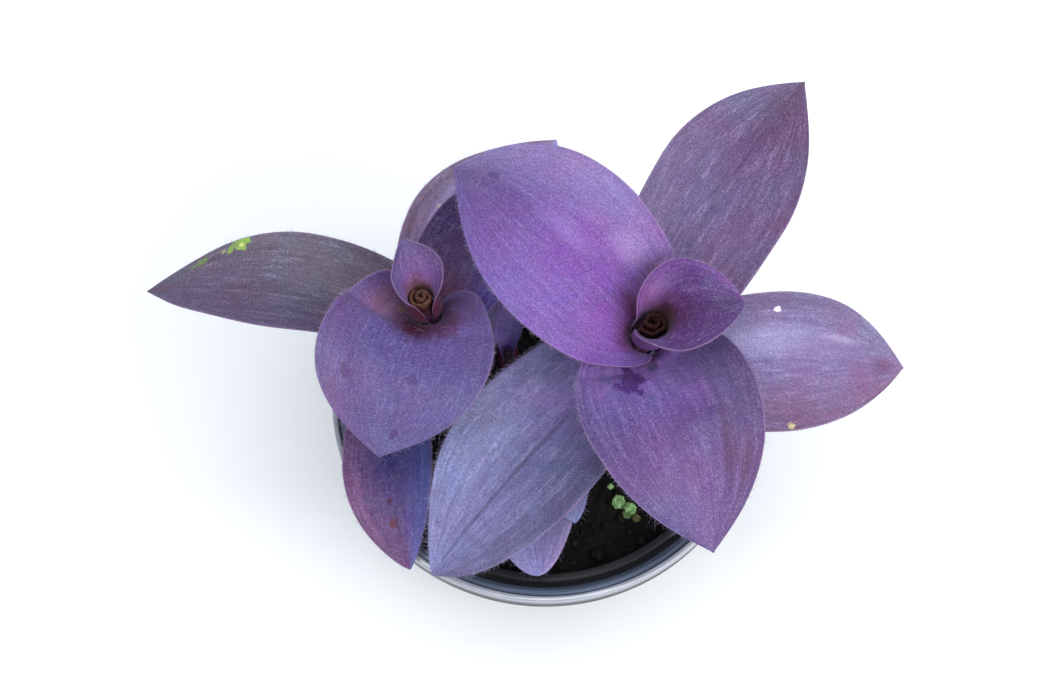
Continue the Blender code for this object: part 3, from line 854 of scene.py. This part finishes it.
# Right shoot, top: a young leaf still curled into a cup round the bud, violet inside, maroon at its heart.
young = Leaf("young_leaf_right", "right", YOUNG, node=134.5, heading=-6, length=24, width=24, rise=80, tip=1,
             roll=5, cup=47, swing=7, widest=0.40, base=0.9, blunt=0.8, groove=0.0, pleat=0.02, wave=0.1,
             seed=1)
skin = leaf_skin(
    young,
    base=(0.34, 0.13, 0.38), middle=(0.060, 0.010, 0.098), tip=(0.041, 0.019, 0.085),
    left=(0.155, 0.052, 0.225), right=(0.081, 0.032, 0.144),
    streak=0.12, bloom=0.25, mottle=0.2, rosy=0.6, grain=0.3, clasp_colour=(0.14, 0.045, 0.18),
    hearts=[(13.0, (0.085, 0.024, 0.085)), (8.5, (0.055, 0.015, 0.022))],
    clouds=[
        (3.5, -0.5, 4.0, 3.5, (0.100, 0.046, 0.030), 0.7),
        (6.0, -8.5, 6.0, 3.0, (0.24, 0.12, 0.30), 0.6),
        (10.0, 1.0, 4.5, 3.5, (0.060, 0.016, 0.060), 0.6),
    ],
)
finished(young, skin, "leaf_right_cup", on_blade=150, on_margin=300, longest=3.2, bare=9.0)

# Right shoot, the big leaf: lies over all the others to the upper left, the brightest violet of the plant.
big = Leaf("big_violet_leaf", "right", GROWN, node=126.4, heading=143, length=64, width=38, rise=47, tip=-32,
           roll=-21, cup=28, swing=-9, widest=0.41, base=0.67, blunt=1.0, groove=0.04, pleat=0.04, wave=0.25,
           seed=2)
skin = leaf_skin(
    big,
    base=(0.155, 0.040, 0.250), middle=(0.129, 0.045, 0.254), tip=(0.107, 0.075, 0.183),
    left=(0.127, 0.072, 0.269), right=(0.271, 0.191, 0.394),
    streak=0.2, bloom=0.28, mottle=0.15, rosy=0.3, frost=0.1, rib=0.1, grain=0.24,
    # painted shadow: the deep colour near the joint and the first two dark clouds are the cup's shadow on
    # this leaf
    hearts=[(9.5, (0.11, 0.032, 0.11)), (6.0, (0.08, 0.018, 0.04))],
    spots=[(51.0, 5.0, 1.6, (0.10, 0.06, 0.19))],
    clouds=[
        (8.0, 3.0, 5.5, 5.0, (0.075, 0.022, 0.060), 0.75),
        (10.5, 12.0, 4.0, 6.0, (0.085, 0.035, 0.085), 0.6),
        # painted highlight: these two pale clouds are a sheen of sky light on the blade
        (18.5, 10.5, 5.0, 4.0, (0.30, 0.22, 0.44), 0.6),
        (30.0, 2.5, 9.0, 3.0, (0.24, 0.15, 0.40), 0.5),
    ],
)
finished(big, skin, "leaf_right_big", on_blade=1000, on_margin=600)

# Right shoot, front leaf: broad, pointing down and forward, with water marks near its base.
front = Leaf("front_violet_leaf", "right", GROWN, node=117.5, heading=-72, length=56, width=40, rise=37,
             tip=-45, roll=4, cup=32, swing=1, widest=0.39, base=0.66, blunt=1.0, groove=0.08, pleat=0.06,
             wave=0.25, seed=3)
skin = leaf_skin(
    front,
    base=(0.320, 0.183, 0.588), middle=(0.082, 0.037, 0.157), tip=(0.145, 0.078, 0.205),
    left=(0.095, 0.053, 0.135), right=(0.074, 0.044, 0.147),
    streak=0.3, bloom=0.3, mottle=0.3, rosy=0.35, frost=0.15, rib=0.25, grain=0.24,
    hearts=[(8.0, (0.07, 0.02, 0.10))],
    spots=[
        (11.0, 6.0, 4.5, (0.075, 0.020, 0.15)),
        (15.0, 10.5, 2.2, (0.125, 0.095, 0.27)),
        (9.5, 12.5, 2.0, (0.120, 0.090, 0.26)),
        (8.5, -1.0, 1.5, (0.12, 0.10, 0.24)),
        (18.0, 2.0, 1.3, (0.12, 0.09, 0.24)),
    ],
    clouds=[
        (19.0, -13.0, 9.0, 5.0, (0.105, 0.095, 0.20), 0.7),
        (34.0, -11.0, 9.0, 2.5, (0.070, 0.030, 0.075), 0.7),
        (38.0, -15.5, 8.0, 2.0, (0.085, 0.035, 0.080), 0.6),
        (14.0, -5.0, 6.0, 6.0, (0.11, 0.085, 0.20), 0.5),
    ],
)
finished(front, skin, "leaf_right_front", on_blade=900, on_margin=600)

# Right shoot, back leaf: the longest, reaching to the back right, dusky purple, with a dry tan tip.
back = Leaf("long_back_leaf", "right", GROWN, node=109.0, heading=58, length=84, width=34, rise=36, tip=-17,
            roll=12, cup=33, swing=-3, widest=0.50, base=0.66, blunt=1.0, groove=0.15, pleat=0.08, wave=0.3,
            seed=4)
skin = leaf_skin(
    back,
    base=(0.083, 0.050, 0.112), middle=(0.082, 0.048, 0.141), tip=(0.083, 0.041, 0.081),
    left=(0.129, 0.100, 0.186), right=(0.119, 0.058, 0.130),
    streak=0.35, bloom=0.3, mottle=0.35, rosy=0.3, frost=0.2, rib=0.4, grain=0.36,
    spots=[(84.0, 0.0, 1.6, (0.45, 0.30, 0.16)), (26.0, -5.0, 1.2, (0.045, 0.03, 0.09))],
)
finished(back, skin, "leaf_right_back", on_blade=1300, on_margin=600)

# Right shoot, low leaf: grey lavender and the hairiest, across the front left, with a deep midrib groove.
low = Leaf("grey_low_leaf", "right", GROWN, node=100.5, heading=232, length=72, width=38, rise=28, tip=-44,
           roll=12, cup=37, swing=-9, widest=0.47, base=0.81, blunt=0.85, groove=0.30, pleat=0.12, wave=0.25,
           seed=5)
skin = leaf_skin(
    low,
    base=(0.344, 0.226, 0.611), middle=(0.098, 0.108, 0.232), tip=(0.204, 0.188, 0.393),
    left=(0.085, 0.059, 0.137), right=(0.228, 0.238, 0.428),
    streak=0.3, bloom=0.4, mottle=0.25, rosy=0.35, frost=0.25, rib=0.75, grain=0.36,
)
finished(low, skin, "leaf_right_low", on_blade=11000, on_margin=1800, longest=3.4)

# Right shoot, side leaf: spreads flat to the right, with a whitish lengthwise bloom, one pale mark and a
# yellowish fleck.
side = Leaf("side_leaf", "right", GROWN, node=92.3, heading=-4, length=80, width=35, rise=26, tip=-40,
            roll=20, cup=43, swing=17, widest=0.48, base=0.66, blunt=1.0, groove=0.10, pleat=0.07, wave=0.2,
            seed=6)
skin = leaf_skin(
    side,
    base=(0.137, 0.103, 0.207), middle=(0.137, 0.105, 0.243), tip=(0.158, 0.080, 0.183),
    left=(0.157, 0.119, 0.210), right=(0.162, 0.069, 0.126),
    streak=0.3, bloom=0.6, mottle=0.2, rosy=0.25, frost=0.22, rib=0.2, grain=0.28,
    spots=[(39.8, -12.9, 0.85, (0.85, 0.82, 0.80)), (41.5, 16.4, 0.9, (0.55, 0.50, 0.25))],
    clouds=[
        (38.0, -5.5, 13.0, 5.0, (0.27, 0.27, 0.44), 0.8),
        (52.0, -3.0, 13.0, 5.0, (0.170, 0.140, 0.275), 0.6),
        (56.0, -7.0, 7.0, 1.6, (0.27, 0.25, 0.40), 0.7),
        (71.0, 0.5, 5.0, 7.5, (0.130, 0.052, 0.125), 0.85),
        (45.0, 12.0, 16.0, 3.5, (0.155, 0.090, 0.165), 0.5),
        (45.0, -15.0, 22.0, 2.5, (0.13, 0.085, 0.17), 0.6),
    ],
)
finished(side, skin, "leaf_right_side", on_blade=900, on_margin=500)

# Left shoot, top: a small young leaf, upright and curled into a cup, with a rosy brown heart.
young_left = Leaf("young_leaf_left", "left", YOUNG, node=125.0, heading=116, length=18, width=17, rise=85,
                  tip=57, roll=8, cup=68, swing=0, widest=0.41, base=0.9, blunt=0.8, groove=0.0, pleat=0.02,
                  wave=0.08, seed=8)
skin = leaf_skin(
    young_left,
    base=(0.36, 0.15, 0.40), middle=(0.195, 0.087, 0.268), tip=(0.075, 0.060, 0.153),
    left=(0.047, 0.027, 0.117), right=(0.079, 0.037, 0.125),
    streak=0.1, bloom=0.25, mottle=0.2, rosy=0.6, grain=0.25,
    hearts=[(10.0, (0.20, 0.080, 0.15)), (6.5, (0.17, 0.072, 0.070))],
)
finished(young_left, skin, "leaf_left_cup", on_blade=160, on_margin=260, longest=2.0, bare=8.0)

# Left shoot, front leaf: heart shaped and violet blue, with a maroon crescent where it clasps the stem.
heart = Leaf("heart_leaf", "left", GROWN, node=116.0, heading=254, length=42, width=40, rise=42, tip=-49,
             roll=-5, cup=31, swing=0, widest=0.44, base=0.74, blunt=1.0, groove=0.03, pleat=0.03, wave=0.25,
             seed=9)
skin = leaf_skin(
    heart,
    base=(0.12, 0.070, 0.270), middle=(0.069, 0.044, 0.162), tip=(0.092, 0.085, 0.207),
    left=(0.104, 0.071, 0.203), right=(0.090, 0.050, 0.153),
    streak=0.15, bloom=0.3, mottle=0.35, rosy=0.4, frost=0.08, rib=0.05, grain=0.26,
    hearts=[(12.0, (0.100, 0.034, 0.095))],
    spots=[
        (22.6, -3.3, 1.6, (0.060, 0.030, 0.13)),
        (24.6, 12.1, 1.5, (0.065, 0.030, 0.11)),
        (35.0, -5.0, 1.6, (0.075, 0.045, 0.15)),
        (3.2, 7.8, 1.8, (0.16, 0.10, 0.075)),
    ],
    clouds=[
        (5.8, 11.5, 4.5, 6.0, (0.170, 0.074, 0.135), 0.9),
        (8.0, 0.5, 6.0, 7.5, (0.040, 0.003, 0.014), 1.0),
        (5.0, -8.0, 4.5, 4.0, (0.085, 0.024, 0.070), 0.7),
        (28.0, 17.5, 16.0, 3.0, (0.120, 0.070, 0.160), 0.5),
        (2.5, -17.0, 4.0, 3.0, (0.085, 0.030, 0.070), 0.7),
    ],
)
finished(heart, skin, "leaf_left_front", on_blade=600, on_margin=700)

# Left shoot, inner leaf: dark, in the shade behind the cup.
dark = Leaf("dark_inner_leaf", "left", GROWN, node=107.0, heading=55, length=45, width=25, rise=36, tip=-12,
            roll=8, cup=34, swing=10, widest=0.39, base=0.80, blunt=1.0, groove=0.15, pleat=0.06, wave=0.2,
            seed=10)
skin = leaf_skin(
    dark,
    # painted shade: these colours are darker than the leaf's own, with the shade behind the cup painted in,
    # darkest on its left side
    base=(0.111, 0.026, 0.049), middle=(0.048, 0.019, 0.124), tip=(0.059, 0.026, 0.132),
    left=(0.019, 0.006, 0.035), right=(0.078, 0.067, 0.423),
    streak=0.4, bloom=0.2, mottle=0.4, frost=0.2, rib=0.4,
)
finished(dark, skin, "leaf_left_inner", on_blade=2000, on_margin=400)

# Left shoot, long leaf: reaches far to the left, folded along its middle, grey brown, with chewed patches
# gone yellow green near its upper margin.
long_left = Leaf("long_left_leaf", "left", GROWN, node=97.5, heading=174, length=76, width=31, rise=35,
                 tip=-28, roll=13, cup=51, swing=-2, widest=0.45, base=0.72, blunt=1.0, groove=0.2,
                 pleat=0.08, wave=0.2, seed=11)
skin = leaf_skin(
    long_left,
    base=(0.082, 0.059, 0.099), middle=(0.088, 0.068, 0.105), tip=(0.098, 0.056, 0.108),
    left=(0.075, 0.052, 0.125), right=(0.101, 0.092, 0.117),
    streak=0.4, bloom=0.25, mottle=0.25, rosy=0.35, frost=0.2, rib=0.3, grain=0.3,
    spots=[
        (51.5, 13.4, 2.2, (0.20, 0.36, 0.06)),
        (49.8, 14.5, 1.6, (0.20, 0.36, 0.06)),
        (53.6, 13.2, 1.3, (0.20, 0.32, 0.07)),
        (51.2, 13.6, 0.8, (0.50, 0.56, 0.20)),
        (55.6, 13.2, 0.8, (0.32, 0.26, 0.16)),
        (61.0, 12.6, 1.8, (0.13, 0.20, 0.07)),
        (63.5, 11.7, 1.3, (0.13, 0.19, 0.08)),
    ],
    clouds=[
        (73.0, 0.0, 7.0, 7.0, (0.120, 0.050, 0.085), 0.6),
        (30.0, 4.0, 9.0, 4.0, (0.130, 0.115, 0.150), 0.5),
    ],
)
finished(long_left, skin, "leaf_left_long", on_blade=1400, on_margin=500)

# Left shoot, back leaf: an older one, grey brown, beneath the dark leaf, with a pale mark on it.
old = Leaf("old_back_leaf", "left", GROWN, node=88.5, heading=68, length=64, width=41, rise=39, tip=-20,
           roll=-20, cup=50, swing=-13, widest=0.43, base=0.6, blunt=1.0, groove=0.12, pleat=0.06, wave=0.3,
           seed=12)
skin = leaf_skin(
    old,
    base=(0.226, 0.174, 0.371), middle=(0.276, 0.205, 0.460), tip=(0.265, 0.195, 0.385),
    left=(0.119, 0.077, 0.083), right=(0.497, 0.394, 0.925),
    streak=0.3, bloom=0.2, mottle=0.4, rosy=0.4, frost=0.15,
    spots=[(31.0, -14.0, 1.0, (0.40, 0.36, 0.30))],
)
finished(old, skin, "leaf_left_back", on_blade=3500, on_margin=500)

# Low shoot: a leaf that hangs over the lip at the front left, rosy on its outer half and blue inside.
rosy_leaf = Leaf("rosy_low_leaf", "low", GROWN, node=84.5, heading=-100, length=50, width=23, rise=15,
                 tip=-6, roll=10, cup=35, swing=30, widest=0.48, base=0.78, blunt=0.8, groove=0.12,
                 pleat=0.06, wave=0.2, seed=13)
skin = leaf_skin(
    rosy_leaf,
    base=(0.026, 0.018, 0.089), middle=(0.027, 0.023, 0.133), tip=(0.103, 0.028, 0.108),
    left=(0.091, 0.119, 0.405), right=(0.161, 0.064, 0.140),
    streak=0.3, bloom=0.25, mottle=0.3, rosy=0.5, frost=0.1,
    spots=[(33.0, 1.0, 0.9, (0.06, 0.008, 0.03)), (38.5, 1.5, 1.3, (0.11, 0.02, 0.035))],
)
finished(rosy_leaf, skin, "leaf_low_front", on_blade=3500, on_margin=1300, longest=2.6,
         to_right=0.15)

# Middle shoot: a short shoot under the others, with two pale bluish leaves.
pale_leaf = Leaf("pale_middle_leaf", "middle", GROWN, node=85.5, heading=-101, length=38, width=23, rise=26,
                 tip=-12, roll=15, cup=40, swing=19, widest=0.45, base=0.80, blunt=0.55, groove=0.1,
                 pleat=0.06, wave=0.2, seed=14)
skin = leaf_skin(
    pale_leaf,
    base=(0.214, 0.192, 0.391), middle=(0.290, 0.264, 0.509), tip=(0.177, 0.174, 0.381),
    left=(0.438, 0.342, 0.608), right=(0.290, 0.256, 0.494),
    streak=0.2, bloom=0.4, mottle=0.3,
)
finished(pale_leaf, skin, "leaf_middle_front", on_blade=2500, on_margin=150, longest=2.5)
top_leaf = Leaf("small_middle_leaf", "middle", GROWN, node=94.5, heading=-73, length=30, width=15, rise=40,
                tip=-25, roll=0, cup=35, swing=-1, widest=0.42, base=1.1, blunt=0.7, groove=0.08, pleat=0.03,
                wave=0.15, seed=15)
skin = leaf_skin(
    top_leaf,
    base=(0.134, 0.150, 0.304), middle=(0.170, 0.205, 0.391), tip=(0.170, 0.191, 0.391),
    left=(0.158, 0.191, 0.370), right=(0.170, 0.191, 0.370),
    streak=0.2, bloom=0.35, mottle=0.2,
)
finished(top_leaf, skin, "leaf_middle_top", on_blade=1500, on_margin=200, longest=2.5)

# Inner shoot: the smallest, one narrow upright leaf between the left and the right shoot, bluish violet.
inner = Leaf("small_inner_leaf", "inner", GROWN, node=82.2, heading=96, length=26, width=9, rise=66, tip=52,
             roll=0, cup=42, swing=0, widest=0.42, base=0.7, blunt=1.0, groove=0.1, pleat=0.03, wave=0.1,
             seed=7)
skin = leaf_skin(
    inner,
    # painted light: these colours are far paler than the leaf's own, to brighten it in its shaded gap
    base=(0.36, 0.26, 0.85), middle=(0.46, 0.34, 0.92), tip=(0.44, 0.34, 0.90),
    left=(0.44, 0.33, 0.90), right=(0.150, 0.117, 0.382),
    streak=0.2, bloom=0.3, mottle=0.2, grain=0.2,
)
finished(inner, skin, "leaf_inner_small", on_blade=800, on_margin=240)

# Buds: the next leaf of each shoot, still a tight roll, which stands on the end of the stem inside the
# cup. It is one soft blade coiled up, maroon on the right and the middle shoot, browner on the left one.


def rolled_bud(name, deep, wall, edge):
    finish, shader, add, join = nodes_of(name)
    place = add("ShaderNodeTexCoord").outputs["Object"]
    tone = speckled(add, place, 900.0, 6.0, 0.75)
    risen = add("ShaderNodeAttribute", attribute_name="risen").outputs["Fac"]
    shift = value_ramp(add, tone, -0.6, 0.6, 0.2, 0.8)
    up = reckoned(add, "ADD", risen, shift)
    join(colour_ramp(add, up, [(0.30, deep), (0.65, wall), (1.0, edge)]), shader.inputs["Base Color"])
    fine = speckled(add, place, 3000.0, 3.0)
    join(value_ramp(add, fine, 0.55, 0.8), shader.inputs["Roughness"])
    shader.inputs["Specular IOR Level"].default_value = 0.12
    join(bumped(add, 0.9, 0.0008, tone), shader.inputs["Normal"])
    return finish


ROLL_TURNS = 1.7
ROLL_STEPS = 110
# share of its radius that the roll loses from its outer end to its core
ROLL_NARROWS = 0.80
# share of the space between two turns that the blade fills
ROLL_FILL = 0.92
# share of its radius that the roll gains from its foot to its edge
ROLL_LEANS = 0.06
# how far the foot of the roll sits below the end of its stem
ROLL_SINKS = 0.4
# the blade's section goes up its outer face and down its inner one: side, and share of the height
climbs = [k / 7 for k in range(8)]
section = [(1, climb) for climb in climbs] + [(-1, climb) for climb in reversed(climbs)]
maroon_bud = rolled_bud("maroon_bud", (0.012, 0.002, 0.004), (0.022, 0.005, 0.007), (0.034, 0.011, 0.009))
brown_bud = rolled_bud("brown_bud", (0.060, 0.018, 0.022), (0.100, 0.040, 0.034), (0.120, 0.058, 0.040))
for name, radius, height, opens_at, bud_skin in (
        ("right", 2.6, 3.6, 3.6, maroon_bud),
        ("left", 2.3, 4.2, 2.2, brown_bud),
        ("middle", 1.6, 5.5, 4.0, maroon_bud)):
    top = np.array(STEMS[name][1])
    rows, risen = [], []
    for share in np.linspace(0, 1, ROLL_STEPS):
        turn = opens_at + 2 * pi * ROLL_TURNS * share
        out = np.array([cos(turn), sin(turn), 0.0])
        uneven = 1 + 0.09 * cos(2 * turn) + 0.05 * sin(5 * turn + opens_at)
        around = radius * (1 - ROLL_NARROWS * share) * uneven
        rise = height * (0.62 + 0.38 * share ** 0.8) * (1 + 0.10 * sin(2.6 * turn) + 0.05 * sin(9 * turn))
        ring, marks = [], []
        for side, climb in section:
            thick = radius * ROLL_NARROWS / ROLL_TURNS * ROLL_FILL / 2 * (1 - 0.4 * climb ** 4)
            lean = 1 + ROLL_LEANS * climb
            lift = np.array([0.0, 0.0, -ROLL_SINKS + rise * climb])
            ring.append(top + out * (around * lean + side * thick) + lift)
            marks.append(climb)
        rows.append(ring)
        risen.append(marks)
    bud = lofted("rolled_bud_" + name, np.array(rows), {"risen": np.array(risen)})
    bud.data.materials.append(bud_skin)
    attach(bud, "root")
    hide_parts("bud_" + name)

# Floor: a plain pale surface, matt and without joints, that the pot stands on. It is not part of the
# object.

bpy.ops.mesh.primitive_plane_add(size=4.0, location=(0.0, 0.0, 0.0))
floor = bpy.context.object
floor.name = "pale_floor"
finish, shader, add, join = nodes_of("pale_floor")
tone = speckled(add, add("ShaderNodeTexCoord").outputs["Object"], 3.0, 2.0)
tint = colour_ramp(add, tone, [(0.3, (0.80, 0.81, 0.83)), (0.7, (0.84, 0.85, 0.86))])
join(tint, shader.inputs["Base Color"])
shader.inputs["Roughness"].default_value = 0.6
floor.data.materials.append(finish)

# Light: an even pale sky, a large soft light overhead and a second one, slightly warmer, from the front
# right.

world = bpy.data.worlds.new("soft_sky")
world.use_nodes = True
world.node_tree.nodes["Background"].inputs["Color"].default_value = (0.86, 0.92, 1.0, 1.0)
world.node_tree.nodes["Background"].inputs["Strength"].default_value = 0.62
bpy.context.scene.world = world


def soft_light(name, place, aim, size, power, colour):
    data = bpy.data.lights.new(name, "AREA")
    data.shape = "RECTANGLE"
    data.size = size[0]
    data.size_y = size[1]
    data.energy = power
    data.color = colour
    lamp = bpy.data.objects.new(name, data)
    bpy.context.collection.objects.link(lamp)
    lamp.location = place
    lamp.rotation_euler = (Vector(aim) - Vector(place)).to_track_quat("-Z", "Y").to_euler()


soft_light("overhead_light", (0.0, -0.15, 1.4), (0.0, 0.0, 0.1), (1.5, 0.9), 16.0, (0.96, 0.98, 1.0))
soft_light("window_light", (0.9, -0.7, 1.0), (0.0, 0.0, 0.1), (1.2, 1.0), 14.0, (1.0, 0.98, 0.96))

# Camera: above the plant and a little to its front, looking down into the pot 22 degrees off the vertical.

lens = bpy.data.cameras.new("camera")
lens.lens = 50.0
lens.sensor_width = 36.0
lens.clip_start = 0.01
camera = bpy.data.objects.new("camera", lens)
bpy.context.collection.objects.link(camera)
camera.location = (-0.0048, -0.1255, 0.4274)
camera.rotation_euler = (radians(22.0), 0.0, 0.0)
bpy.context.scene.camera = camera
bpy.context.scene.view_settings.view_transform = "Standard"
